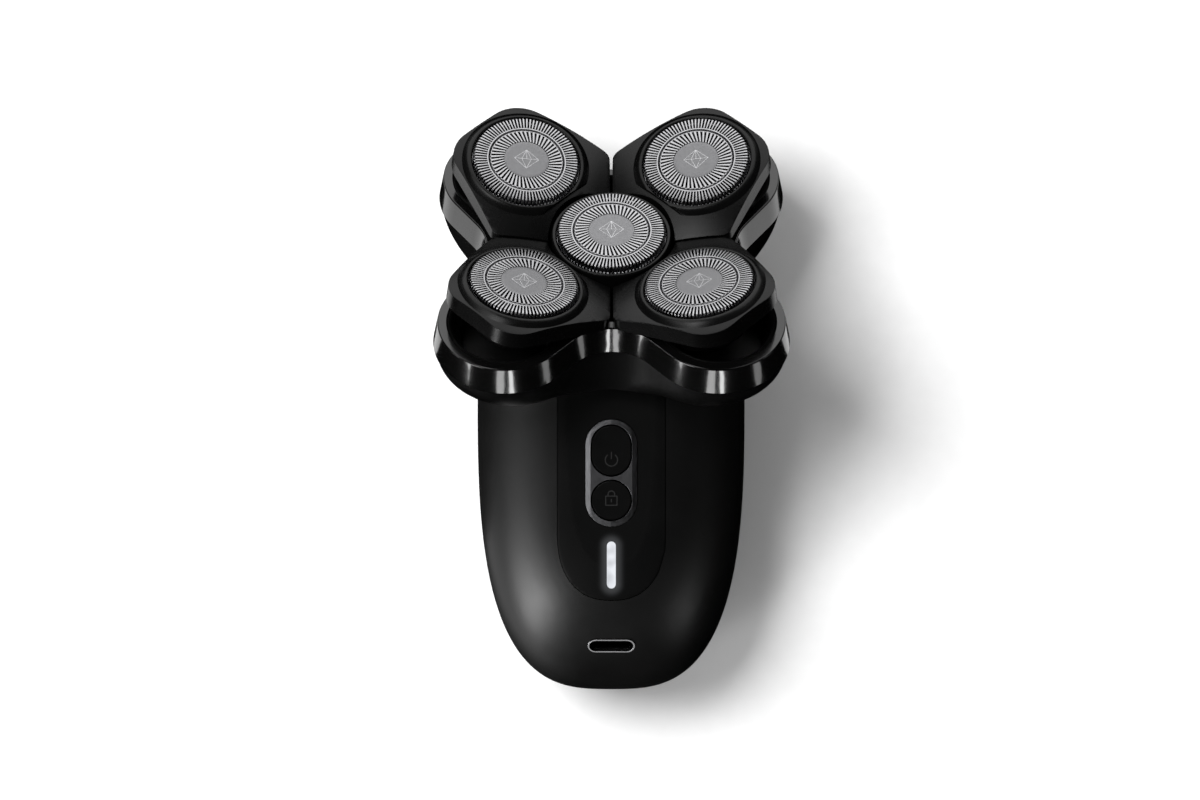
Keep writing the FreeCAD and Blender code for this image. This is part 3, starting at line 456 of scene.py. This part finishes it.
def ringOfBars(count, start, finish, startWidth, finishWidth, slant, overEdge):
    # one bar is drawn out from a small face, then spun round the foil as copies
    look = foilLook
    deselectAll()
    bpy.ops.mesh.primitive_plane_add(size=1.0)
    bar = bpy.context.object
    bpy.ops.object.mode_set(mode="EDIT")
    bpy.ops.mesh.select_all(action="SELECT")
    bpy.ops.transform.resize(value=(startWidth * mm, look["plate"] * mm, 1),
                             center_override=(0, 0, 0))
    leaveEdit()
    stand = Matrix.Rotation(math.radians(90), 4, "Z") @ Matrix.Rotation(math.radians(90), 4, "X")
    putAt(bar, Matrix.Translation(Vector((start, 0, -look["plate"] / 2)) * mm) @ stand)
    bpy.ops.object.mode_set(mode="EDIT")
    bpy.ops.mesh.select_all(action="SELECT")
    straight = finish - look["edgeRadius"] if overEdge else finish
    bpy.ops.mesh.extrude_region_move(
        TRANSFORM_OT_translate={"value": ((straight - start) * mm, 0, 0)})
    bpy.ops.transform.resize(value=(1, finishWidth / startWidth, 1),
                             center_override=(straight * mm, 0, 0))
    if overEdge:
        bpy.ops.mesh.spin(steps=look["edgeSteps"], dupli=False, angle=math.radians(90),
                          center=Vector((straight, 0, -look["edgeRadius"])) * mm, axis=(0, -1, 0))
        bpy.ops.mesh.extrude_region_move(
            TRANSFORM_OT_translate={"value": (0, 0, (look["slotFoot"] + look["edgeRadius"]) * mm)})
    bpy.ops.mesh.select_all(action="SELECT")
    bpy.ops.mesh.normals_make_consistent(inside=False)
    leaveEdit()
    edges = bar.modifiers.new("edges", "BEVEL")
    edges.width = look["barBevel"] * mm
    edges.segments = 1
    edges.limit_method = "ANGLE"
    edges.angle_limit = math.radians(look["bevelFrom"])
    applyModifiers(bar)
    if slant:
        middle = Vector(((start + finish) / 2, 0, 0)) * mm
        putAt(bar, Matrix.Translation(middle) @ Matrix.Rotation(math.radians(slant), 4, "Z")
              @ Matrix.Translation(-middle))
    editWith(bar)
    bpy.ops.mesh.select_all(action="SELECT")
    bpy.ops.mesh.spin(steps=count - 1, dupli=True, angle=math.tau * (count - 1) / count,
                      center=(0, 0, 0), axis=(0, 0, 1))
    leaveEdit()
    smooth(bar, look["crease"])
    return bar


def makeFoil():
    look = foilLook
    outer = ringOfBars(look["outerBars"], look["outerInner"], look["radius"], look["outerBarInner"],
                       look["outerBarOuter"], 0.0, True)
    inner = ringOfBars(look["innerBars"], look["innerInner"] - look["underDisc"],
                       look["innerOuter"], look["innerBarInner"], look["innerBarOuter"],
                       look["slant"], False)
    wallInside = look["radius"] - look["wall"]
    foot = look["wallFoot"] - look["flange"]
    wall = turned([(look["radius"], look["slotFoot"]), (look["radius"], look["wallFoot"]),
                   (look["flangeRadius"], look["wallFoot"]), (look["flangeRadius"], foot),
                   (wallInside, foot), (wallInside, look["slotFoot"])], look["sides"])
    smooth(wall, look["crease"])
    ring = turned(look["ring"], look["sides"])
    smooth(ring, look["crease"])
    return joined([outer, inner, wall, ring])


def makeDisc():
    # the solid middle of the foil, etched matt, with a rounded rim
    look = foilLook
    deselectAll()
    bpy.ops.mesh.primitive_cylinder_add(
        vertices=look["discSides"], radius=look["discRadius"] * mm, depth=look["discDepth"] * mm,
        location=(0, 0, (look["discLevel"] - look["discDepth"] / 2) * mm))
    disc = bpy.context.object
    bpy.ops.object.transform_apply(location=True, rotation=True, scale=True)
    rim = disc.modifiers.new("rim", "BEVEL")
    rim.width = look["discRim"] * mm
    rim.segments = look["discRimSteps"]
    rim.limit_method = "ANGLE"
    applyModifiers(disc)
    editWith(disc, "FACE")
    mesh = bmesh.from_edit_mesh(disc.data)
    for face in mesh.faces:
        # the flat top alone
        height = face.calc_center_median().z / mm
        face.select = face.normal.z > 0.99 and height > look["discLevel"] - 0.01
    bmesh.update_edit_mesh(disc.data)
    bpy.ops.mesh.inset(thickness=look["discInset"] * mm, depth=0)
    leaveEdit()
    smooth(disc, look["crease"])
    return disc


# the lines' top edges are taken off by a share of their height
motifLook = {"line": 0.11, "height": 0.03, "lift": 0.002, "topEdge": 0.4,
             # a cut gem: outline, girdle and facets, in millimetres from the disc's middle
             "lines": [((0, 2.3), (2.3, 0.2)), ((2.3, 0.2), (0, -2.0)), ((0, -2.0), (-2.3, 0.2)),
                       ((-2.3, 0.2), (0, 2.3)), ((-2.3, 0.2), (2.3, 0.2)), ((0, 2.3), (-0.9, 0.2)),
                       ((0, 2.3), (0.9, 0.2)), ((-0.9, 0.2), (0, -2.0)), ((0.9, 0.2), (0, -2.0)),
                       ((0, 2.3), (0, 0.2))]}


def drawnLines(lines, width, height, level):
    # thin bars along the lines, each with its top edges taken off and a hair higher than the last
    strokes = []
    for (x1, y1), (x2, y2) in lines:
        level += motifLook["lift"]
        deselectAll()
        bpy.ops.mesh.primitive_cube_add(size=1.0)
        stroke = bpy.context.object
        length = math.hypot(x2 - x1, y2 - y1) + width
        size = Matrix.Diagonal(Vector((length * mm, width * mm, height * mm, 1)))
        spot = Vector(((x1 + x2) / 2, (y1 + y2) / 2, level)) * mm
        turn = Matrix.Rotation(math.atan2(y2 - y1, x2 - x1), 4, "Z")
        putAt(stroke, Matrix.Translation(spot) @ turn @ size)
        editWith(stroke, "EDGE")
        mesh = bmesh.from_edit_mesh(stroke.data)
        for edge in mesh.edges:
            edge.select = all(v.co.z > level * mm for v in edge.verts)
        bmesh.update_edit_mesh(stroke.data)
        bpy.ops.mesh.bevel(offset=height * motifLook["topEdge"] * mm, segments=1)
        leaveEdit()
        strokes.append(stroke)
    return joined(strokes)


foilFirst, discFirst = makeFoil(), makeDisc()
motifFirst = drawnLines(motifLook["lines"], motifLook["line"], motifLook["height"],
                        foilLook["discLevel"])
foilPlaces = {"centre": (headPlace(), "centre_pod", 0.0)}
for corner, degrees in corners.items():
    # the motif stands upright as seen from the handle
    foilPlaces[corner] = (podPlace(corner), "pod_" + corner, -degrees)
for foilName, (place, body, motifTurn) in foilPlaces.items():
    foil = putAt(copyOf(foilFirst, "foil"), place)
    finishPiece(foil, "foilCap_" + foilName, body, finishes["foilSteel"],
                ["foil_" + foilName])
    disc = putAt(copyOf(discFirst, "disc"), place)
    finishPiece(disc, "foilDisc_" + foilName, body, finishes["etchedSteel"])
    upright = Matrix.Rotation(math.radians(motifTurn), 4, "Z")
    motif = putAt(copyOf(motifFirst, "motif"), place @ upright)
    finishPiece(motif, "foilMotif_" + foilName, body, finishes["cutSteel"])
for first in (foilFirst, discFirst, motifFirst):
    bpy.data.objects.remove(first)
print("foils ready, triangles each:", sum(len(p.vertices) - 2 for p in foil.data.polygons))

# moulded pieces keep the part's shape, and get the soft edges that a mould gives

# in degrees: the sharpness from which edges are rounded, and below which faces are made one
edgeRule = {"roundFrom": 35, "flatBelow": 0.3}
# the bezel's rim: its width, the drop of its outer edge, and how near to that edge the drop holds
bezelRim = {"width": 0.95, "drop": 0.22, "edgeReach": 0.05, "topReach": 0.01}


def slopeRim(piece, nodeName):
    # the outer rim of a stadium-shaped frame is let down a little, so its top slopes outwards
    look = bezelRim
    low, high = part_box(nodeName)
    radius = (high.x - low.x) / 2
    middle = (low.y + high.y) / 2
    straight = (high.y - low.y) / 2 - radius
    for across in (look["width"] * mm - radius, 0, radius - look["width"] * mm):
        bpy.ops.mesh.select_all(action="SELECT")
        bpy.ops.mesh.bisect(plane_co=(across, 0, 0), plane_no=(1, 0, 0))
        bpy.ops.mesh.mark_seam(clear=False)
    bpy.ops.mesh.select_all(action="SELECT")
    bpy.ops.mesh.dissolve_limited(angle_limit=math.radians(edgeRule["flatBelow"]),
                                  delimit={"SEAM"})
    mesh = bmesh.from_edit_mesh(piece.data)
    bpy.ops.mesh.select_all(action="DESELECT")
    for v in mesh.verts:
        away = math.hypot(v.co.x, max(abs(v.co.y - middle) - straight, 0))
        atEdge = away > radius - look["edgeReach"] * mm
        v.select = atEdge and v.co.z > high.z - look["topReach"] * mm
    bpy.ops.mesh.select_mode(type="VERT")
    bmesh.update_edit_mesh(piece.data)
    bpy.ops.transform.translate(value=(0, 0, -look["drop"] * mm))


def softened(nodeName, width, segments, onlyEdges=None, slopedRim=False):
    # a merged copy of the part's piece with its outward edges rounded
    piece = copyOf(nodes[nodeName], nodeName + "Shape")
    piece.parent = None
    piece.matrix_world = Matrix.Identity(4)
    editWith(piece, "EDGE")
    bpy.ops.mesh.select_all(action="SELECT")
    bpy.ops.mesh.remove_doubles(threshold=weld["copy"] * mm)
    if slopedRim:
        slopeRim(piece, nodeName)
    else:
        bpy.ops.mesh.dissolve_limited(angle_limit=math.radians(edgeRule["flatBelow"]))
    leaveEdit()
    if piece.data.has_custom_normals:
        bpy.ops.mesh.customdata_custom_splitnormals_clear()
    mesh = bmesh.new()
    mesh.from_mesh(piece.data)
    weight = mesh.edges.layers.float.new("bevel_weight_edge")
    for edge in mesh.edges:
        if edge.calc_face_angle_signed(0) > math.radians(edgeRule["roundFrom"]):
            edge[weight] = onlyEdges(edge) if onlyEdges else 1.0
    mesh.to_mesh(piece.data)
    mesh.free()
    edges = piece.modifiers.new("edges", "BEVEL")
    edges.width = width * mm
    edges.segments = segments
    edges.limit_method = "WEIGHT"
    edges.use_clamp_overlap = True
    edges.miter_outer = "MITER_ARC"
    applyModifiers(piece)
    smooth(piece, edgeRule["roundFrom"])
    # the broad faces set the shading, so reflections run straight up to the small edges
    broad = piece.modifiers.new("broad", "WEIGHTED_NORMAL")
    broad.keep_sharp = True
    applyModifiers(piece)
    return piece


# the glossy band, and the liner that hangs inside it: where its outline is taken, then each step
# down as (factor of that outline, level in mm)
bandEdge = {"width": 0.25, "segments": 3, "linerFrom": -5.0, "linerTolerance": 0.002,
            "linerCorners": 8, "linerWall": 0.5, "crease": 40,
            "linerSteps": [(0.995, -5.1), (0.985, -6.2), (0.975, -7.4), (0.96, -8.4), (0.94, -9.3)]}


def innerOutline(nodeName, toFrame, level):
    # the innermost outline of one of the part's pieces at a level of its frame, as a loop of edges
    piece = copyOf(nodes[nodeName], nodeName + "Slice")
    piece.parent = None
    piece.matrix_world = Matrix.Identity(4)
    putAt(piece, toFrame)
    if piece.data.has_custom_normals:
        pick(piece)
        bpy.ops.mesh.customdata_custom_splitnormals_clear()
    editWith(piece, "EDGE")
    bpy.ops.mesh.select_all(action="SELECT")
    bpy.ops.mesh.remove_doubles(threshold=weld["copy"] * mm)
    bpy.ops.mesh.select_all(action="SELECT")
    bpy.ops.mesh.bisect(plane_co=(0, 0, level * mm), plane_no=(0, 0, 1), clear_outer=True)
    mesh = bmesh.from_edit_mesh(piece.data)
    left = {v for v in mesh.verts if abs(v.co.z - level * mm) < bandEdge["linerTolerance"] * mm}
    loops = []
    while left:
        start = left.pop()
        loop, front = {start}, [start]
        while front:
            for edge in front.pop().link_edges:
                for other in edge.verts:
                    if other in left:
                        left.discard(other)
                        loop.add(other)
                        front.append(other)
        if len(loop) > bandEdge["linerCorners"]:
            loops.append(loop)
    kept = min(loops, key=lambda loop: max(v.co.xy.length for v in loop))
    for v in mesh.verts:
        v.select = v not in kept
    bmesh.update_edit_mesh(piece.data)
    bpy.ops.mesh.select_mode(type="VERT")
    bpy.ops.mesh.delete(type="VERT")
    bpy.ops.mesh.select_all(action="SELECT")
    bpy.ops.mesh.delete(type="ONLY_FACE")
    bpy.ops.mesh.select_mode(type="EDGE")
    leaveEdit()
    return piece


def drawnDown(piece, steps):
    # the outline is drawn down into a wall, step by step
    editWith(piece, "EDGE")
    bpy.ops.mesh.select_all(action="SELECT")
    mesh = bmesh.from_edit_mesh(piece.data)
    level = sum(v.co.z for v in mesh.verts) / len(mesh.verts) / mm
    middle = sum((v.co for v in mesh.verts), Vector()) / len(mesh.verts)
    scale = 1.0
    for nextScale, nextLevel in steps:
        bpy.ops.mesh.extrude_edges_move()
        grow = nextScale / scale
        bpy.ops.transform.resize(value=(grow, grow, 1), center_override=middle)
        bpy.ops.transform.translate(value=(0, 0, (nextLevel - level) * mm))
        scale, level = nextScale, nextLevel
    bpy.ops.mesh.select_all(action="SELECT")
    bpy.ops.mesh.normals_make_consistent(inside=False)
    leaveEdit()


# the crest is the edge all round a pod cover's top, outside the foil's opening
podEdge = {"crestWidth": 1.2, "crestSegments": 5, "crestInside": 11.0, "crestAbove": -3.5,
           # bead round the foil's opening: radius and level
           "lip": [(10.22, -1.9), (10.22, -0.80), (10.34, -0.60), (10.60, -0.52), (10.95, -0.60),
                   (11.35, -0.85), (11.80, -1.20), (12.30, -1.62), (12.0, -1.9)],
           # the bead stops this far from the head's axis, short of the centre collar
           "lipSides": 96, "lipCrease": 60, "collarKeep": 11.95}
podCovers = []
lipFirst = turned(podEdge["lip"], podEdge["lipSides"])
lipReach = (places["podDiagonal"] - podEdge["collarKeep"]) * mm
editWith(lipFirst, "EDGE")
bpy.ops.mesh.select_all(action="SELECT")
bpy.ops.mesh.bisect(plane_co=(-lipReach, 0, 0), plane_no=(-1, 0, 0), use_fill=True,
                    clear_outer=True)
leaveEdit()
smooth(lipFirst, podEdge["lipCrease"])
for corner in corners:
    place = podPlace(corner)
    toPod = place.inverted()

    def onCrest(edge):
        for v in edge.verts:
            spot = toPod @ v.co / mm
            if spot.z <= podEdge["crestAbove"] or spot.xy.length <= podEdge["crestInside"]:
                return 0.0
        return 1.0

    podCover = softened("pod_cover_" + corner, podEdge["crestWidth"], podEdge["crestSegments"],
                        onlyEdges=onCrest)
    joined([podCover, putAt(copyOf(lipFirst, "lip"), place)])
    podCovers.append(podCover)
    finishPiece(podCover, "podCover_" + corner, "pod_" + corner, finishes["podAbs"],
                ["pod_cover_" + corner])
bpy.data.objects.remove(lipFirst)
print("pods ready")

bandShape = softened("chassis_band", bandEdge["width"], bandEdge["segments"])
finishPiece(bandShape, "glossBand", "head", finishes["glossAbs"], ["chassis_band"])
liner = innerOutline("chassis_band", headPlace().inverted(), bandEdge["linerFrom"])
drawnDown(liner, bandEdge["linerSteps"])
wall = liner.modifiers.new("wall", "SOLIDIFY")
wall.thickness = bandEdge["linerWall"] * mm
applyModifiers(liner)
smooth(liner, bandEdge["crease"])
putAt(liner, headPlace())
finishPiece(liner, "chassisLiner", "head", finishes["innerAbs"])
print("chassis ready")

# handle: soft edges on its trim, icons, the lit bar and the inlet

# node: edge radius in mm, segments, finish, slot
trimEdges = {"button_bezel": (0.16, 3, "gunmetal", "gunmetal_zinc"),
             "power_button": (0.18, 3, "buttonAbs", "matt_black_button"),
             "lock_button": (0.18, 3, "buttonAbs", "matt_black_button"),
             "light_pipe": (0.10, 3, "litDiffuser", "white_diffuser"),
             "usb_shell": (0.12, 3, "steel", "steel_bright"),
             "usb_tongue": (0.08, 2, "innerAbs", "black_nylon"),
             "front_panel": (0.10, 2, "panelAbs", "satin_black_panel"),
             "centre_collar": (0.45, 4, "podAbs", "satin_black_pod")}
trims = {}
for nodeName, (width, segments, finishName, slotName) in trimEdges.items():
    trims[nodeName] = softened(nodeName, width, segments, slopedRim=nodeName == "button_bezel")
    finishPiece(trims[nodeName], nodeName + "Trim", bodyOfNode[nodeName], finishes[finishName],
                [nodeName])

iconLook = {"line": 0.17, "height": 0.02, "powerY": -1.75, "powerRadius": 1.15, "powerGap": 70.0,
            "barFrom": 0.25, "barTo": 1.45, "lockY": -9.35, "lockWidth": 2.1, "lockHeight": 1.7,
            "keyFrom": -0.6, "keyTo": -1.1, "shackleRadius": 0.62, "shackleLeg": 0.35,
            "arcSteps": 28}


def spunArc(radius, startDegrees, sweepDegrees, level):
    # a flat printed line drawn round a centre
    look = iconLook
    deselectAll()
    bpy.ops.mesh.primitive_plane_add(size=1.0)
    arc = bpy.context.object
    size = Matrix.Diagonal(Vector((look["line"] * mm, look["height"] * mm, 1, 1)))
    stand = Matrix.Rotation(math.radians(90), 4, "X")
    start = Matrix.Rotation(math.radians(startDegrees), 4, "Z")
    putAt(arc, start @ Matrix.Translation(Vector((radius, 0, level)) * mm) @ stand @ size)
    editWith(arc)
    bpy.ops.mesh.select_all(action="SELECT")
    bpy.ops.mesh.spin(steps=look["arcSteps"], dupli=False, angle=math.radians(sweepDegrees),
                      center=(0, 0, level * mm), axis=(0, 0, -1))
    bpy.ops.mesh.select_all(action="SELECT")
    bpy.ops.mesh.normals_make_consistent(inside=False)
    leaveEdit()
    return arc


look = iconLook
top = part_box("power_button")[1].z / mm
gap = look["powerGap"]
powerIcon = joined([
    spunArc(look["powerRadius"], 90 + gap / 2, 360 - gap, top),
    drawnLines([((0, look["barFrom"]), (0, look["barTo"]))], look["line"], look["height"], top)])
putAt(powerIcon, Matrix.Translation(Vector((0, look["powerY"], 0)) * mm))
finishPiece(powerIcon, "powerIcon", "power_button", finishes["padPrint"])
half, tall = look["lockWidth"] / 2, look["lockHeight"]
side, leg = look["shackleRadius"], look["shackleLeg"]
lockLines = [((-half, 0), (half, 0)), ((half, 0), (half, -tall)), ((half, -tall), (-half, -tall)),
             ((-half, -tall), (-half, 0)), ((0, look["keyFrom"]), (0, look["keyTo"])),
             ((-side, 0), (-side, leg)), ((side, 0), (side, leg))]
shackle = spunArc(side, 0, 180, top)
putAt(shackle, Matrix.Translation(Vector((0, leg, 0)) * mm))
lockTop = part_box("lock_button")[1].z / mm
lockIcon = joined([drawnLines(lockLines, look["line"], look["height"], lockTop), shackle])
putAt(lockIcon, Matrix.Translation(Vector((0, look["lockY"] + tall / 2, 0)) * mm))
finishPiece(lockIcon, "lockIcon", "lock_button", finishes["padPrint"])
print("trim and icons ready")

# table, light and camera

tableLook = {"size": 3.0, "fibreMm": 4, "dark": "f4f4f4", "light": "fafafa", "roughness": 0.9,
             "ior": 1.45}
deselectAll()
bpy.ops.mesh.primitive_plane_add(size=tableLook["size"], location=(0, 0, cadBox[0].z))
table = bpy.context.object
table.name = "table"
# the studio keeps the white table out of the black gloss
table.visible_glossy = False
# painted board: white emulsion, with a faint fibre showing in the tint
tableMaterial, tree, shader, where = startMaterial(
    "painted_board_white", Roughness=tableLook["roughness"], IOR=tableLook["ior"])
fibre = addNode(tree, "ShaderNodeTexNoise", Scale=1 / (tableLook["fibreMm"] * mm), Detail=2.0,
                Vector=(where, "Object"))
tint = addNode(tree, "ShaderNodeMix", {"data_type": "RGBA"}, i0=(fibre, 0),
               i6=linearColour(tableLook["dark"]), i7=linearColour(tableLook["light"]))
tree.links.new(tint.outputs[2], shader.inputs["Base Color"])
table.data.materials.append(tableMaterial)

studio = {
    "world": 0.27,
    "lamps": {
        # place, aim, size along, size across in metres, power in watts, and what it lights
        "keyLamp": ((-0.68, 0.42, 1.15), (0, 0, 0.03), 0.70, 0.70, 22.5, None),
        "sideGlow": ((-0.80, -0.60, 0.42), (0, -0.02, 0.03), 0.26, 0.85, 5.0, None),
        "handleGlow": ((-0.82, -0.58, 0.43), (0, -0.02, 0.03), 0.60, 0.84, 9.6, "handle"),
        "rightGlow": ((0.75, -0.68, 0.45), (0, -0.02, 0.03), 0.45, 0.45, 1.2, "handle"),
        "podGlow": ((-0.45, 0.70, 0.85), (0, 0.05, 0.04), 0.60, 0.60, 1.7, "pods"),
        "inletGlow": ((0.0, -1.10, 0.35), (0, -0.04, 0.03), 0.50, 0.30, 0.35, "inlet"),
        "topGlow": ((-0.35, 0.60, 1.00), (0, 0.05, 0.04), 0.30, 0.30, 1.0, None),
        "bezelGlow": ((-0.62, -0.05, 0.80), (0, 0, 0.03), 0.40, 0.60, 2.2, "bezel"),
        "frontStripLeft": ((-0.150, -1.10, 0.30), (0, 0.04, 0.05), 0.20, 0.40, 1.4, "band"),
        "frontStripRight": ((0.130, -1.10, 0.30), (0, 0.04, 0.05), 0.11, 0.40, 1.6, "band"),
        "valleyStrip": ((0.71, -0.55, 0.06), (0, 0.04, 0.05), 0.14, 0.30, 0.25, "band"),
        "leftStrip": ((-1.00, -0.12, 0.22), (0, 0.04, 0.04), 0.08, 0.40, 0.8, "band"),
        "rightStrip": ((1.00, -0.12, 0.22), (0, 0.04, 0.04), 0.06, 0.40, 0.4, "band"),
        "backPanel": ((0.0, 1.20, 0.15), (0, 0.04, 0.05), 1.60, 1.10, 8.0, None),
        # white cards laid on the table, face up
        "cardHandle": ((-0.150, -0.100, 0.001), (-0.150, -0.100, 1), 0.22, 0.16, 0.085, "handle"),
        "cardLeft": ((-0.085, 0.045, 0.001), (-0.085, 0.045, 1), 0.07, 0.06, 0.014, "head"),
        "cardRight": ((0.085, 0.045, 0.001), (0.085, 0.045, 1), 0.07, 0.06, 0.012, "head"),
    }}
# flags keep a lamp's light on the pieces it is set for
litOnly = {"band": [bandShape], "bezel": [trims["button_bezel"]], "pods": podCovers,
           "head": podCovers + [bandShape], "inlet": [trims["usb_shell"], trims["usb_tongue"]],
           "handle": [nodes["front_shell"], nodes["rear_shell"]]}
flags = {}
for flagName, pieces in litOnly.items():
    flags[flagName] = bpy.data.collections.new(flagName + "Only")
    for piece in pieces:
        flags[flagName].objects.link(piece)
world = bpy.data.worlds.new("studioRoom")
bpy.context.scene.world = world
bpy.context.scene.view_settings.view_transform = "Standard"
world.use_nodes = True
world.node_tree.nodes["Background"].inputs["Color"].default_value = (1, 1, 1, 1)
world.node_tree.nodes["Background"].inputs["Strength"].default_value = studio["world"]
world.cycles_visibility.glossy = False
for lampName, (spot, aim, size, sizeAcross, watts, flagName) in studio["lamps"].items():
    lampData = bpy.data.lights.new(lampName, "AREA")
    lampData.shape = "RECTANGLE"
    lampData.size = size
    lampData.size_y = sizeAcross
    lampData.energy = watts
    lamp = bpy.data.objects.new(lampName, lampData)
    bpy.context.collection.objects.link(lamp)
    lamp.location = spot
    # the big lamp stays out of the reflections
    lamp.visible_glossy = lampName != "keyLamp"
    lamp.visible_camera = False
    if flagName:
        lamp.light_linking.receiver_collection = flags[flagName]
    lamp.rotation_euler = (Vector(aim) - Vector(spot)).to_track_quat("-Z", "Y").to_euler()

# straight above the shaver; place, lens and nearest distance in mm
cameraView = {"x": -2.12, "y": 9.43, "z": 707.0, "lensMm": 107.9, "sensorMm": 36.0, "nearest": 10}
cameraData = bpy.data.cameras.new("viewCamera")
cameraData.lens = cameraView["lensMm"]
cameraData.sensor_width = cameraView["sensorMm"]
cameraData.clip_start = cameraView["nearest"] * mm
cameraObject = bpy.data.objects.new("viewCamera", cameraData)
bpy.context.collection.objects.link(cameraObject)
cameraObject.location = Vector((cameraView["x"], cameraView["y"], cameraView["z"])) * mm
bpy.context.scene.camera = cameraObject
print("studio ready")

bpy.context.view_layer.update()
